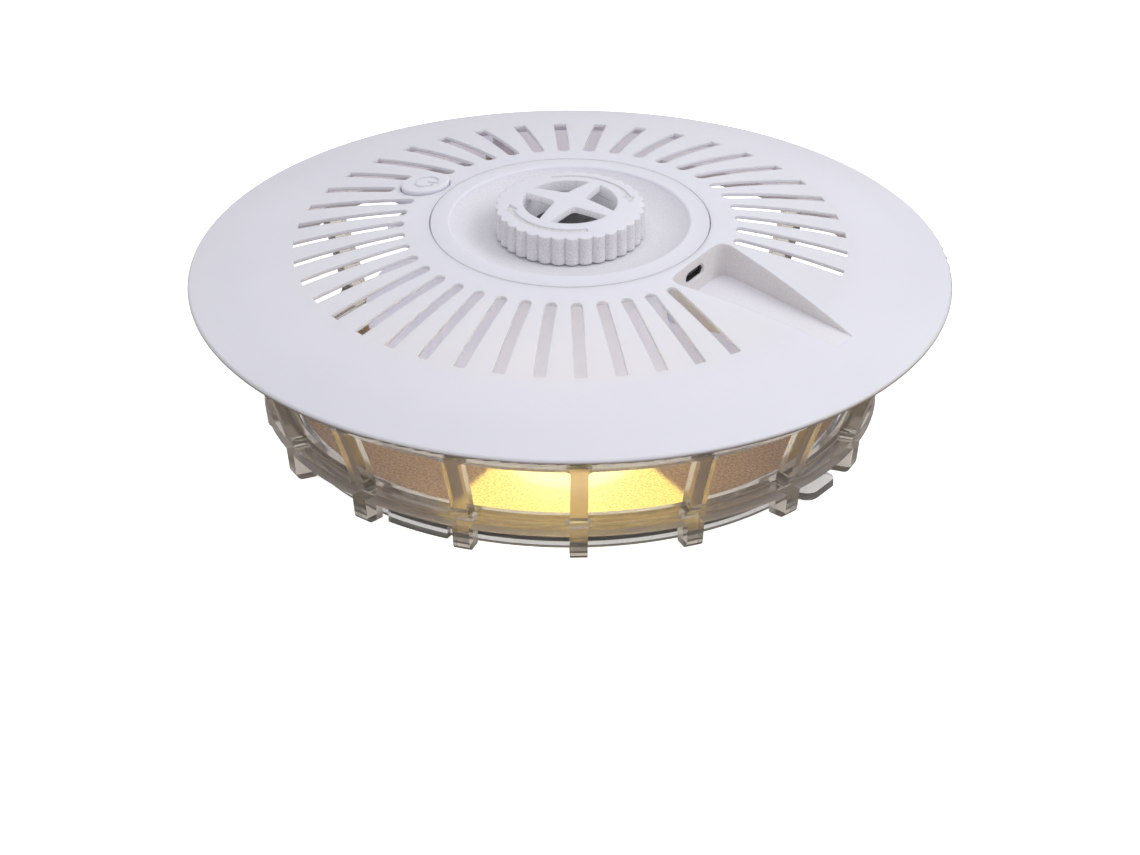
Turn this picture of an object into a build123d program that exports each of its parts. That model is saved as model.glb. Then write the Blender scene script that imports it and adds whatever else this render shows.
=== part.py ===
"""Round flea and moth trap: a vented dome on a clear ribbed cage that stands over a dish with a sticky
disc.  A lamp under the dome lights the disc, and a lure sits in a cup under the knob.

Millimetres, +Z up.  The origin is on the table, under the middle.  +X points along the pocket for the
power lead, and the power button is on the -X side.
"""
from build123d import *
import os
from math import asin, cos, radians, sin, sqrt

os.makedirs("parts", exist_ok=True)

# ---------------------------------------------------------------- driving dimensions
COVER_R = 105.0            # rim of the dome
COVER_RISE = 21.6          # crown of the dome above its rim plane
COVER_T = 2.2              # wall of the dome
THIN_T = 1.0               # wall of the dome where the vents are
RIM_Z = 42.0               # rim plane above the table
FIT = 0.3                  # clearance between pieces that move past each other
SEAT = 0.1                 # clearance between pieces that are clamped together

BALL_R = (COVER_R ** 2 + COVER_RISE ** 2) / (2 * COVER_RISE)
BALL_Z = RIM_Z + COVER_RISE - BALL_R

SLOT_COUNT = 42            # vent positions all round
SLOT_W = 3.35
SLOT_IN = 45.5
SLOT_IN_SHORT = 54.6       # the two beside the button start further out
SLOT_OUT = 76.1
SLOT_PITCH = 360 / SLOT_COUNT
THIN_IN = SLOT_IN - 1.5    # the thinner ring of the dome that the vents are cut in
THIN_OUT = SLOT_OUT + 1.5
SLOTS_LEFT_OUT = 2         # positions each side of +X that the pocket takes

OPENING_R = 38.6           # hole in the dome that the well insert fills
LEDGE_IN = 34.6
LEDGE_T = 1.6
WELL_EDGE_R = 33.0
WELL_FLOOR_R = 23.0
WELL_FLOOR_Z = 57.6
INSERT_T = 2.0
INSERT_GAP = 0.25          # seam between the insert and the dome
WELL_BROW = 0.8            # rounding where the collar turns into the bowl
SEAL_IN_R = 16.5
SEAL_OUT_R = 17.5
SEAL_DEPTH = 0.5           # in its groove
SEAL_PROUD = 0.2
NECK_R = 14.7              # bore in the insert that the lure cup slides in
NECK_T = 1.5
NECK_BOTTOM_Z = 46.0

POCKET_IN_X = 40.3
POCKET_OUT_X = 89.3
POCKET_IN_HALF = 14.3
POCKET_OUT_HALF = 3.8
POCKET_IN_Z = 50.3
POCKET_OUT_Z = 48.25
POCKET_WALL = 2.0
POCKET_CORNER = 3.0

PORT_Z = 56.07
PORT_W = 9.3
PORT_H = 3.4
SHELL_W = 8.94             # standard small reversible socket
SHELL_H = 3.16
SHELL_L = 7.3
SHELL_T = 0.3
SHELL_FRONT_X = 39.9

BUTTON_X = -46.9
BUTTON_R = 6.6
BUTTON_PROUD = 1.2
BUTTON_GAP = 0.3
BUTTON_TRAVEL = 0.8
BUTTON_BOTTOM_Z = 54.4
BUTTON_FLANGE_R = 7.6
BUTTON_FLANGE_T = 0.8
SYMBOL_R = 3.2
SYMBOL_LINE = 0.85
ENGRAVE = 0.35

KNOB_R = 20.5
KNOB_LOBES = 32
KNOB_LOBE_R = 2.23
KNOB_EDGE_Z = 66.0
KNOB_TOP_Z = 68.0
KNOB_BOTTOM_Z = 58.1
KNOB_CROWN_UNDER_Z = 63.9
KNOB_WINDOW_R = 13.0
KNOB_BAR_T = 1.9
KNOB_BAR_HALF = 1.5        # half width of a cross bar at the window's rim
KNOB_HUB_HALF = 2.9        # half width of the bars where they meet
KNOB_CORNER = 1.7
KNOB_GROOVE_IN_R = 16.2    # the knob is hollow between its rim and its sleeve
KNOB_GROOVE_OUT_R = 17.9
KNOB_BALL_R = (KNOB_R ** 2 + (KNOB_TOP_Z - KNOB_EDGE_Z) ** 2) / (2 * (KNOB_TOP_Z - KNOB_EDGE_Z))
ARROW_R = 16.5
ARROW_W = 1.4
ARROW_HEAD_W = 3.6
ARROW_HEAD_DEG = 13
ARROWS = ((140, 34), (-41, -146))      # tail and head angles; both turn clockwise

CUP_OUT_R = 14.3
CUP_IN_R = 13.0
CUP_TOP_Z = 63.6
CUP_FLOOR_Z = 48.2
CUP_BOTTOM_Z = 46.6
KEY_W = 4.0
KEY_OUT_R = 15.8
KEY_H = 2.4
KEY_RISE = 2.0             # above the bottom of the cup
KEY_ANGLES = (90, 270)
VENT_COUNT = 8             # holes in the cup's floor that let the scent out below
VENT_R = 1.3
LURE_R = 10.5
LURE_TOP_Z = 60.5

HUB_R = 43.0               # lamp housing under the dome: a drum that flares out to a rim
HUB_T = 2.0
HUB_TOP_Z = 57.2
HUB_FLARE_Z = 54.0         # the drum ends and the flare starts
HUB_FLARE_MID = (46.8, 43.6)
HUB_RIM_R = 56.0
HUB_RIM_Z = 35.0
HUB_RIM_T = 1.2
HUB_NOSE_R = 20.0
HUB_NOSE_Z = 21.0
HUB_NOSE_H = 3.0
HUB_LEDGE_T = 1.4          # holds the lens, in width and in thickness
POST_R = 37.6              # circle of the posts that the housing hangs from
POST_ANGLES = (90, 210, 330)
POST_OUT_R = 3.4
POST_TOP_Z = 50.0
POST_HOLE_R = 1.3
POST_SINK_R = 2.7          # wide hole below, for the screw's head
POST_FLOOR_T = 2.4
POST_PILOT_R = 1.1
POST_SCREW_L = 7.0
BOSS_R = 3.0               # pillars under the dome that the screws go into
SHELF_OUT_X = -54.5
SHELF_HALF = 7.5
SHELF_TOP_Z = 48.3
SHELF_T = 1.8
NOTCH_GAP = 0.8            # room in the housing round the pocket
NOTCH_L = 22.0

SWITCH_SIZE = 6.0
SWITCH_TOP_Z = 53.0
PLUNGER_R = 1.75
PLUNGER_BOTTOM_Z = 52.0
SMALL_BOARD_T = 1.2
SMALL_BOARD_TOP_Z = SHELF_TOP_Z + SMALL_BOARD_T
SMALL_BOARD_L = 14.0
SMALL_BOARD_W = 13.0
SMALL_BOARD_SCREW_X = (BUTTON_X - 5.3, BUTTON_X + 5.3)
SMALL_SCREW_R = 0.8
SMALL_SCREW_L = 2.8

BOARD_T = 1.6
BOARD_TOP_Z = PORT_Z - SHELL_H / 2
BOARD_R = 32.8
BOARD_HOLE_R = 17.4
BOARD_SCREW_R = 27.5
BOARD_SCREW_ANGLES = (45, 165, 285)
BOARD_BOSS_R = 2.4
BOARD_PILOT_R = 0.9
BOARD_NOSE_X = 37.6        # a tongue of the board carries the socket
BOARD_NOSE_W = 11.0
CHIP_Y = -25.0
CHIP_L = 8.0
CHIP_W = 6.0
CHIP_H = 1.2
CHIP_PITCH = 1.8
CAN_CIRCLE_R = 25.5
CAN_ANGLES = (110, 125)
CAN_R = 2.5
CAN_H = 7.0
LEAD_R = 0.6               # leads to the lamp
LEAD_Y = 22.0
THIN_LEAD_R = 0.5          # leads to the button

LENS_R = 17.0
LENS_T = 2.4
LAMP_BOARD_Z = 29.4
LAMP_BOARD_R = 14.0
LAMP_BOARD_T = 1.2
LED_COUNT = 3
LED_SIZE = (2.8, 3.0, 1.4)
LED_CIRCLE_R = 2.9

RIB_COUNT = 16
RIB_W = 4.9
RIB_DEPTH = 4.7
RIB_PHASE = 11.25
FLANGE_R = 84.0
FLANGE_IN_R = 77.9
FLANGE_Z = 7.7
FLANGE_TOP_Z = 10.8
LIP_R = 80.3
LIP_Z = 12.0
WINDOW_TOP_Z = 32.2
RIB_TOP_R = 93.0
RIB_MID = (87.6, 20.5)
RING_Z = 37.0              # plain ring above the windows
RING_TOP_Z = 43.4
RING_T = 3.0
WINDOW_CORNER = 1.6
FOOT_IN_R = 77.1
FOOT_OUT_R = 83.2
FOOT_CORNER = 2.2
EAR_R = 82.5
EAR_ANGLES = (45, 135, 225, 315)
EAR_Z = 36.4
EAR_T = 2.2
EAR_TIP_R = 3.6
EAR_HOLE_R = 1.5
EAR_PILOT_R = 1.3
EAR_SCREW_L = 9.0

SKIRT_R = 88.0             # rim under the dome that centres the cage
SKIRT_T = 1.6
SKIRT_Z = 33.5

TRAY_R = 76.7
TRAY_WALL = 1.8
TRAY_TOP_Z = 10.2
TRAY_FLOOR_Z = 3.2
TRAY_FLOOR_T = 2.0
TAB_HALF = 7.0
TAB_OUT_R = 82.2
TAB_T = 2.2
GRIP_ANGLE = -90
GRIP_HALF_DEG = 7.0
GRIP_OUT_R = 78.7
CARD_R = 74.3
CARD_T = 0.5
GLUE_R = 73.7
GLUE_T = 0.6


# ---------------------------------------------------------------- helpers
def dome_z(radius, drop=0.0):
    """Height of the dome's surface, or of one set in by drop, at a distance from the axis."""
    return BALL_Z + sqrt((BALL_R - drop) ** 2 - radius ** 2)


def on_circle(radius, angle, z=0.0):
    """A location on a circle about the Z axis, turned to face outwards."""
    return Rot(0, 0, angle) * Pos(radius, 0, z)


def tube(outer, inner, low, high):
    """A plain ring about the Z axis."""
    return Pos(0, 0, low) * extrude(Circle(outer) - Circle(inner), high - low)


def disc(radius, low, high):
    return Pos(0, 0, low) * extrude(Circle(radius), high - low)


def spin(face):
    """Turn a face drawn in the XZ plane round the Z axis."""
    return revolve(face, Axis.Z)


def outline(*edges):
    """A face in the XZ plane from edges that join end to end."""
    return make_face(Wire(edges))


def line(a, b):
    return Line((a[0], 0, a[1]), (b[0], 0, b[1])).edge()


def arc(a, b, c):
    return ThreePointArc((a[0], 0, a[1]), (b[0], 0, b[1]), (c[0], 0, c[1])).edge()


def polygon(*points):
    """A straight-sided face in the XZ plane."""
    closed = list(points) + [points[0]]
    return outline(*[line(a, b) for a, b in zip(closed, closed[1:])])


def under_dome(drop=0.0):
    """Everything inside the ball that the dome is cut from, above the table."""
    ball = Pos(0, 0, BALL_Z) * Sphere(BALL_R - drop)
    return ball & disc(COVER_R + 5, 0, RIM_Z + COVER_RISE + 5)


def screw(shank_r, length, head_r, head_h):
    """A pan-head screw whose head sits below z = 0 and whose shank points up."""
    shank = disc(shank_r, 0, length - shank_r) + Pos(0, 0, length - shank_r) * Cone(
        shank_r, shank_r * 0.3, shank_r, align=(Align.CENTER, Align.CENTER, Align.MIN))
    head = disc(head_r, -head_h, 0)
    head = fillet(head.edges().group_by(Axis.Z)[0], head_h * 0.45)
    cross = Pos(0, 0, -head_h) * (Box(head_r * 1.1, head_r * 0.28, head_h * 0.9)
                                  + Box(head_r * 0.28, head_r * 1.1, head_h * 0.9))
    return shank + head - cross


def save(shape, node):
    """Write one named piece."""
    export_step(shape, "parts/" + node + ".step")
    return shape


# ---------------------------------------------------------------- dome
def dome_shell():
    """The bare dome: a fully rounded rim, a round opening in the middle, thinner round the vents."""
    half = COVER_T / 2
    mid_r = BALL_R - half
    rim = asin((COVER_R - half) / mid_r)
    top = asin(OPENING_R / BALL_R)

    def at(radius, angle):
        return (radius * sin(angle), BALL_Z + radius * cos(angle))

    outer_in = (OPENING_R, dome_z(OPENING_R))
    inner_in = (OPENING_R, dome_z(OPENING_R, COVER_T))
    outer_out = at(BALL_R, rim)
    inner_out = at(BALL_R - COVER_T, rim)
    tip = (mid_r * sin(rim) + half * cos(rim), BALL_Z + mid_r * cos(rim) - half * sin(rim))
    middle = (rim + top) / 2
    shell = spin(outline(
        arc(outer_in, at(BALL_R, middle), outer_out),
        arc(outer_out, tip, inner_out),
        arc(inner_out, at(BALL_R - COVER_T, middle), inner_in),
        line(inner_in, outer_in)))
    thin_ring = tube(THIN_OUT, THIN_IN, RIM_Z, RIM_Z + COVER_RISE) & under_dome(THIN_T)
    thin_ring -= Pos(BUTTON_X, 0, 0) * disc(BUTTON_FLANGE_R + 1.5, RIM_Z, RIM_Z + COVER_RISE)
    return shell - thin_ring


def vent_cutters():
    """One cutter for each vent: round at the inner end, square at the outer end."""
    cutters = []
    for index in range(SLOT_COUNT):
        angle = (index + 0.5) * SLOT_PITCH
        steps_from_pocket = min(index, SLOT_COUNT - 1 - index)
        if steps_from_pocket < SLOTS_LEFT_OUT:
            continue
        beside_button = abs(angle - 180) < SLOT_PITCH
        start = (SLOT_IN_SHORT if beside_button else SLOT_IN) + SLOT_W / 2
        plan = Pos((start + SLOT_OUT) / 2, 0) * Rectangle(SLOT_OUT - start, SLOT_W)
        plan += Pos(start, 0) * Circle(SLOT_W / 2)
        cutters.append(Rot(0, 0, angle) * Pos(0, 0, RIM_Z) * extrude(plan, COVER_RISE))
    return cutters


def pocket(grow):
    """The tapering hollow for the plug, or with grow its outside."""
    half_in = POCKET_IN_HALF + grow
    half_out = POCKET_OUT_HALF + grow
    x_in = POCKET_IN_X - grow
    x_out = POCKET_OUT_X + grow
    plan = make_face(Polyline((x_in, -half_in), (x_out, -half_out), (x_out, half_out),
                              (x_in, half_in), close=True))
    inner_corners = plan.vertices().sort_by(Axis.X)[:2]
    plan = fillet(inner_corners, POCKET_CORNER + grow)
    top_z = RIM_Z + COVER_RISE
    side = polygon((x_in - 1, POCKET_IN_Z - grow), (x_out + 1, POCKET_OUT_Z - grow),
                   (x_out + 1, top_z), (x_in - 1, top_z))
    slab = extrude(side, COVER_R, both=True)
    return (Pos(0, 0, RIM_Z - 10) * extrude(plan, 40)) & slab


def port_hole(width, height, depth):
    """A slot with round ends in the YZ plane, running along +X from x = 0."""
    return extrude(Plane.YZ * SlotOverall(width, height), depth)


def skirt():
    """The rim under the dome, notched where the ears of the cage pass through it."""
    rim = tube(SKIRT_R, SKIRT_R - SKIRT_T, SKIRT_Z, RIM_Z + COVER_RISE)
    notch_h = EAR_Z + EAR_T + FIT - SKIRT_Z
    for angle in EAR_ANGLES:
        rim -= on_circle(SKIRT_R, angle, SKIRT_Z) * Box(10, 2 * EAR_TIP_R + 1, 2 * notch_h)
    return rim


def dome_cover():
    body = dome_shell()
    ledge_top = dome_z(OPENING_R, INSERT_T) - SEAT
    ledge = tube(OPENING_R + COVER_T, LEDGE_IN, ledge_top - LEDGE_T, ledge_top)
    ledge -= Pos(LEDGE_IN, 0, ledge_top) * Box(20, PORT_W + 6, 10)
    body += ledge & under_dome(THIN_T / 2)
    body += (pocket(POCKET_WALL) + skirt()) & under_dome(THIN_T / 2)
    for angle in EAR_ANGLES:
        boss = on_circle(EAR_R, angle) * disc(BOSS_R, EAR_Z + EAR_T, dome_z(EAR_R))
        body += boss & under_dome(THIN_T / 2)
    for angle in POST_ANGLES:
        body += on_circle(POST_R, angle) * disc(BOSS_R, POST_TOP_Z, ledge_top - LEDGE_T / 2)
    cutters = vent_cutters()
    cutters.append(disc(OPENING_R, ledge_top, RIM_Z + COVER_RISE))
    cutters.append(pocket(0))
    cutters.append(Pos(POCKET_IN_X - 6, 0, PORT_Z) * port_hole(PORT_W, PORT_H, 8))
    cutters.append(Pos(BUTTON_X, 0, 0) * disc(BUTTON_R + BUTTON_GAP, RIM_Z, RIM_Z + COVER_RISE))
    for angle in EAR_ANGLES:
        cutters.append(on_circle(EAR_R, angle) * disc(EAR_PILOT_R, EAR_Z, EAR_Z + EAR_SCREW_L + 0.8))
    for angle in POST_ANGLES:
        pilot_top = POST_TOP_Z - POST_FLOOR_T + POST_SCREW_L + 0.8
        cutters.append(on_circle(POST_R, angle) * disc(POST_PILOT_R, POST_TOP_Z - 1, pilot_top))
    return body - cutters


def well_insert():
    """The round insert: a collar that carries on the dome, a bowl, and the neck for the lure cup."""
    edge_r = OPENING_R - INSERT_GAP
    edge_z = dome_z(edge_r)
    collar_r = WELL_EDGE_R + WELL_BROW
    collar = (collar_r, dome_z(collar_r))
    brow_mid = (WELL_EDGE_R, dome_z(WELL_EDGE_R) - WELL_BROW / 4)
    brow = (WELL_EDGE_R - WELL_BROW / 2, dome_z(WELL_EDGE_R) - WELL_BROW)
    bowl_mid = (WELL_FLOOR_R + 5.4, WELL_FLOOR_Z + 0.75)
    floor_out = (WELL_FLOOR_R, WELL_FLOOR_Z)
    floor_in = (NECK_R, WELL_FLOOR_Z)
    neck_low = (NECK_R, NECK_BOTTOM_Z)
    neck_out_low = (NECK_R + NECK_T, NECK_BOTTOM_Z)
    neck_out = (NECK_R + NECK_T, WELL_FLOOR_Z - INSERT_T)
    under_floor = (WELL_FLOOR_R + 0.6, WELL_FLOOR_Z - INSERT_T)
    under_mid = (bowl_mid[0] + 0.8, bowl_mid[1] - INSERT_T + 0.1)
    under_brow = (WELL_EDGE_R + 0.6, brow[1] - INSERT_T)
    under_collar = (LEDGE_IN - 0.2, dome_z(LEDGE_IN) - INSERT_T - SEAT)
    body = spin(outline(
        line((edge_r, edge_z), collar),
        arc(collar, brow_mid, brow),
        arc(brow, bowl_mid, floor_out),
        line(floor_out, floor_in),
        line(floor_in, neck_low),
        line(neck_low, neck_out_low),
        line(neck_out_low, neck_out),
        line(neck_out, under_floor),
        arc(under_floor, under_mid, under_brow),
        line(under_brow, under_collar),
        line(under_collar, (edge_r, edge_z - INSERT_T)),
        line((edge_r, edge_z - INSERT_T), (edge_r, edge_z))))
    body -= tube(SEAL_OUT_R + SEAT, SEAL_IN_R - SEAT, WELL_FLOOR_Z - SEAL_DEPTH, WELL_FLOOR_Z + 1)
    for angle in KEY_ANGLES:
        body -= on_circle(NECK_R, angle, WELL_FLOOR_Z) * Box(
            2 * (KEY_OUT_R + FIT - NECK_R), KEY_W + 2 * FIT, 2 * COVER_RISE)
    for angle in BOARD_SCREW_ANGLES:
        boss = on_circle(BOARD_SCREW_R, angle) * disc(BOARD_BOSS_R, BOARD_TOP_Z, WELL_FLOOR_Z - 0.6)
        hole = on_circle(BOARD_SCREW_R, angle) * disc(BOARD_PILOT_R, BOARD_TOP_Z - 1, WELL_FLOOR_Z - 0.9)
        body = body + boss - hole
    return body


def knob_seal():
    """A flat rubber ring in the groove of the well's floor."""
    return tube(SEAL_OUT_R, SEAL_IN_R, WELL_FLOOR_Z - SEAL_DEPTH, WELL_FLOOR_Z + SEAL_PROUD)


# ---------------------------------------------------------------- knob and lure
def arrow_plan(tail, head):
    """A curved arrow that runs clockwise from its tail angle to its head angle."""
    neck = head + ARROW_HEAD_DEG
    inner = ARROW_R - ARROW_W / 2
    outer = ARROW_R + ARROW_W / 2

    def at(radius, angle):
        return (radius * cos(radians(angle)), radius * sin(radians(angle)))

    middle = (tail + neck) / 2
    edges = [
        ThreePointArc(at(outer, tail), at(outer, middle), at(outer, neck)),
        Line(at(outer, neck), at(ARROW_R + ARROW_HEAD_W / 2, neck)),
        Line(at(ARROW_R + ARROW_HEAD_W / 2, neck), at(ARROW_R, head)),
        Line(at(ARROW_R, head), at(ARROW_R - ARROW_HEAD_W / 2, neck)),
        Line(at(ARROW_R - ARROW_HEAD_W / 2, neck), at(inner, neck)),
        ThreePointArc(at(inner, neck), at(inner, middle), at(inner, tail)),
        Line(at(inner, tail), at(outer, tail))]
    return make_face([item.edge() for item in edges])


def window_plan():
    """One of the four windows: a quarter of the round opening between two cross bars."""
    reach = KNOB_WINDOW_R + 2
    quarter = make_face(Polyline((KNOB_HUB_HALF, KNOB_HUB_HALF), (reach, KNOB_BAR_HALF),
                                 (reach, reach), (KNOB_BAR_HALF, reach), close=True))
    inner = quarter.vertices().sort_by_distance((0, 0))[:1]
    return fillet(inner, KNOB_CORNER) & Circle(KNOB_WINDOW_R)


def crown(drop=0.0):
    """The low dome of the knob's top."""
    return Pos(0, 0, KNOB_TOP_Z - drop - KNOB_BALL_R) * Sphere(KNOB_BALL_R)


def twist_knob():
    plan = Circle(KNOB_R - KNOB_LOBE_R / 2)
    for index in range(KNOB_LOBES):
        plan += Rot(0, 0, index * 360 / KNOB_LOBES) * Pos(KNOB_R - KNOB_LOBE_R, 0) * Circle(KNOB_LOBE_R)
    body = Pos(0, 0, KNOB_BOTTOM_Z) * extrude(plan, KNOB_TOP_Z - KNOB_BOTTOM_Z + 1)
    body &= crown()
    body -= disc(CUP_OUT_R + FIT, KNOB_BOTTOM_Z - 1, KNOB_CROWN_UNDER_Z)
    body -= tube(KNOB_GROOVE_OUT_R, KNOB_GROOVE_IN_R, KNOB_BOTTOM_Z - 1, KNOB_CROWN_UNDER_Z)
    body -= disc(KNOB_WINDOW_R, KNOB_BOTTOM_Z, KNOB_TOP_Z) & crown(KNOB_BAR_T)
    for index in range(4):
        body -= Rot(0, 0, 90 * index) * Pos(0, 0, KNOB_BOTTOM_Z) * extrude(window_plan(), 12)
    for tail, head in ARROWS:
        cutter = Pos(0, 0, KNOB_CROWN_UNDER_Z) * extrude(arrow_plan(tail, head), 6)
        body -= cutter - crown(ENGRAVE)
    return body


def lure_cup():
    """An open cup with two keys that slide in the insert's neck."""
    cup = disc(CUP_OUT_R, CUP_BOTTOM_Z, CUP_TOP_Z)
    for angle in KEY_ANGLES:
        cup += on_circle(CUP_OUT_R, angle, CUP_BOTTOM_Z + KEY_RISE) * Box(
            2 * (KEY_OUT_R - CUP_OUT_R), KEY_W, KEY_H)
    for index in range(VENT_COUNT):
        angle = (index + 0.5) * 360 / VENT_COUNT
        cup -= on_circle(CUP_IN_R - 3, angle) * disc(VENT_R, CUP_BOTTOM_Z - 1, CUP_FLOOR_Z + 1)
    return cup - disc(CUP_IN_R, CUP_FLOOR_Z, CUP_TOP_Z + 1)


def lure_block():
    """The pheromone lure: a grey tablet with a rounded top edge."""
    block = disc(LURE_R, CUP_FLOOR_Z, LURE_TOP_Z)
    return fillet(block.edges().group_by(Axis.Z)[-1], 0.8)


# ---------------------------------------------------------------- button and its switch
def symbol_plan():
    """The generic power symbol, open towards +X."""
    ring = Circle(SYMBOL_R + SYMBOL_LINE / 2) - Circle(SYMBOL_R - SYMBOL_LINE / 2)
    gap_half = SYMBOL_LINE * 1.35
    ring -= Pos(SYMBOL_R, 0) * Rectangle(SYMBOL_R * 1.1, 2 * gap_half)
    bar = Pos(SYMBOL_R * 0.72, 0) * Rectangle(SYMBOL_R * 1.1, SYMBOL_LINE)
    return ring + bar


def power_button():
    top = Pos(0, 0, BUTTON_PROUD) * under_dome()
    cap = Pos(BUTTON_X, 0, 0) * disc(BUTTON_R, BUTTON_BOTTOM_Z, dome_z(0) + 4)
    cap &= top
    rim = cap.edges().group_by(Axis.Z)[-1]
    cap = fillet(rim, 0.35)
    cap += Pos(BUTTON_X, 0, 0) * disc(BUTTON_FLANGE_R, BUTTON_BOTTOM_Z, BUTTON_BOTTOM_Z + BUTTON_FLANGE_T)
    mark = Pos(BUTTON_X, 0, BUTTON_BOTTOM_Z + 3) * extrude(symbol_plan(), 8)
    return cap - (mark - Pos(0, 0, -ENGRAVE) * top)


def tact_plunger():
    return Pos(BUTTON_X, 0, 0) * disc(PLUNGER_R, PLUNGER_BOTTOM_Z, BUTTON_BOTTOM_Z)


def tact_switch():
    body = Pos(BUTTON_X, 0, (SMALL_BOARD_TOP_Z + SWITCH_TOP_Z) / 2) * Box(
        SWITCH_SIZE, SWITCH_SIZE, SWITCH_TOP_Z - SMALL_BOARD_TOP_Z)
    body = chamfer(body.edges().filter_by(Axis.Z), 0.5)
    bore_low = PLUNGER_BOTTOM_Z - BUTTON_TRAVEL - FIT
    return body - Pos(BUTTON_X, 0, 0) * disc(PLUNGER_R + 0.06, bore_low, SWITCH_TOP_Z + 1)


def button_board():
    board = Pos(BUTTON_X, 0, SHELF_TOP_Z + SMALL_BOARD_T / 2) * Box(
        SMALL_BOARD_L, SMALL_BOARD_W, SMALL_BOARD_T)
    board = fillet(board.edges().filter_by(Axis.Z), 1.0)
    for x in SMALL_BOARD_SCREW_X:
        board -= Pos(x, 0, 0) * disc(SMALL_SCREW_R + 0.3, SHELF_TOP_Z - 1, SMALL_BOARD_TOP_Z + 1)
    return board


def button_board_screws():
    down = Rot(180, 0, 0) * screw(SMALL_SCREW_R, SMALL_SCREW_L, 1.5, 1.0)
    return Compound([Pos(x, 0, SMALL_BOARD_TOP_Z) * down for x in SMALL_BOARD_SCREW_X])


# ---------------------------------------------------------------- circuit board and what is on it
def circuit_board():
    plan = Circle(BOARD_R) + Pos(BOARD_R, 0) * Rectangle(2 * (BOARD_NOSE_X - BOARD_R), BOARD_NOSE_W)
    plan -= Circle(BOARD_HOLE_R)
    for angle in BOARD_SCREW_ANGLES:
        plan -= on_circle(BOARD_SCREW_R, angle) * Circle(BOARD_PILOT_R + 0.3)
    return Pos(0, 0, BOARD_TOP_Z - BOARD_T) * extrude(plan, BOARD_T)


def board_screws():
    up = screw(BOARD_PILOT_R - 0.05, 3.6, 1.8, 1.2)
    return Compound([on_circle(BOARD_SCREW_R, angle, BOARD_TOP_Z - BOARD_T) * up
                     for angle in BOARD_SCREW_ANGLES])


def usb_socket():
    """The socket's folded metal shell, open at the front and closed at the back."""
    back_x = SHELL_FRONT_X - SHELL_L
    shell = Pos(back_x, 0, PORT_Z) * port_hole(SHELL_W, SHELL_H, SHELL_L)
    hollow = port_hole(SHELL_W - 2 * SHELL_T, SHELL_H - 2 * SHELL_T, SHELL_L)
    return shell - Pos(back_x + 1.2, 0, PORT_Z) * hollow


def usb_tongue():
    """The contact tongue inside the socket."""
    back_x = SHELL_FRONT_X - SHELL_L + 1.2
    tongue = Pos(back_x + 2.6, 0, PORT_Z) * Box(5.2, 6.7, 0.7)
    return tongue + Pos(back_x + 0.6, 0, PORT_Z) * Box(1.2, 7.2, 2.2)


def control_chip():
    """A small eight-legged package under the board."""
    low = BOARD_TOP_Z - BOARD_T
    body = Pos(0, CHIP_Y, low - CHIP_H / 2) * Box(CHIP_L, CHIP_W, CHIP_H)
    for side in (-1, 1):
        for index in range(4):
            leg_x = (index - 1.5) * CHIP_PITCH
            leg_y = CHIP_Y + side * (CHIP_W + 1.2) / 2
            body += Pos(leg_x, leg_y, low - CHIP_H / 4) * Box(CHIP_H / 2, 1.6, CHIP_H / 2)
    return body


def board_capacitors():
    low = BOARD_TOP_Z - BOARD_T
    cans = []
    for angle in CAN_ANGLES:
        can = on_circle(CAN_CIRCLE_R, angle) * disc(CAN_R, low - CAN_H, low)
        cans.append(fillet(can.edges().group_by(Axis.Z)[0], 0.5))
    return Compound(cans)


def wire(points, bends, radius):
    """A round wire along straight runs joined by arcs."""
    path = FilletPolyline(*points, radius=bends)
    start = path @ 0
    return sweep(Plane(origin=start, z_dir=path % 0) * Circle(radius), path=path)


def lamp_wires():
    """Two leads from the circuit board down to the lamp board."""
    leads = []
    for side in (-1, 1):
        x = side * 2.2
        points = [(x, LEAD_Y, BOARD_TOP_Z - BOARD_T), (x, LEAD_Y, LAMP_BOARD_Z + 10.6),
                  (x, LEAD_Y / 2, LAMP_BOARD_Z + 6.6), (x, LEAD_Y / 2, LAMP_BOARD_Z + LAMP_BOARD_T)]
        leads.append(wire(points, [3.0, 2.5], LEAD_R))
    return Compound(leads)


def button_wires():
    """Two leads from the button's board through the housing wall to the circuit board."""
    leads = []
    for side in (-1, 1):
        y = side * 3.4
        x_out = BUTTON_X + 6.0
        x_in = x_out + 10.4
        across_z = SMALL_BOARD_TOP_Z + 1.7
        points = [(x_out, y, SMALL_BOARD_TOP_Z), (x_out, y, across_z), (x_in, y, across_z),
                  (x_in, y, BOARD_TOP_Z - BOARD_T)]
        leads.append(wire(points, [0.9, 0.9], THIN_LEAD_R))
    return Compound(leads)


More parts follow.
